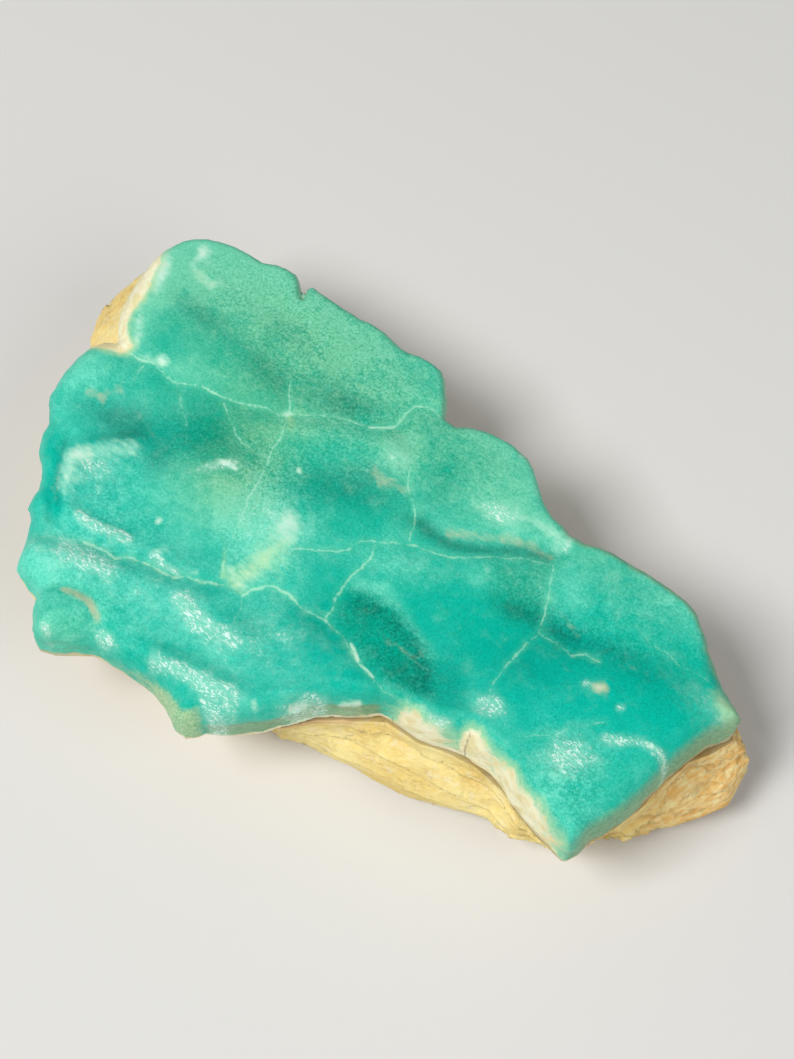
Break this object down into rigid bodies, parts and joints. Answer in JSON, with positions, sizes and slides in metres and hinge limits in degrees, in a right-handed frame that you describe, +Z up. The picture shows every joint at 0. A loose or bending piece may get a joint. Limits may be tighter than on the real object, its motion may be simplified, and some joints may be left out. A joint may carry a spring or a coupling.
{
  "type": "rough aragonite",
  "caption": "Rough hand specimen: a wavy turquoise aragonite crust with pale veins, grown on a block of broken tan limestone, lying crust up.",
  "frame": {"origin": "under the middle of the specimen, on the flat spot that the limestone rests on", "axes": "+Z up out of the crust, +X along the specimen's longest side, +Y towards the end where the limestone shows beside the crust"},
  "size_m": [0.1089, 0.0975, 0.0283],
  "materials": {
    "aragonite": "waxy translucent turquoise crust with pale yellow-green veins and a cream lowest band, finely crinkled and softly shiny",
    "limestone": "dry tan limestone with rough broken faces and thin brown bedding lines"
  },
  "bodies": {
    "root": {"aragonite_crust": "aragonite", "limestone_matrix": "limestone"}
  },
  "joints": []
}
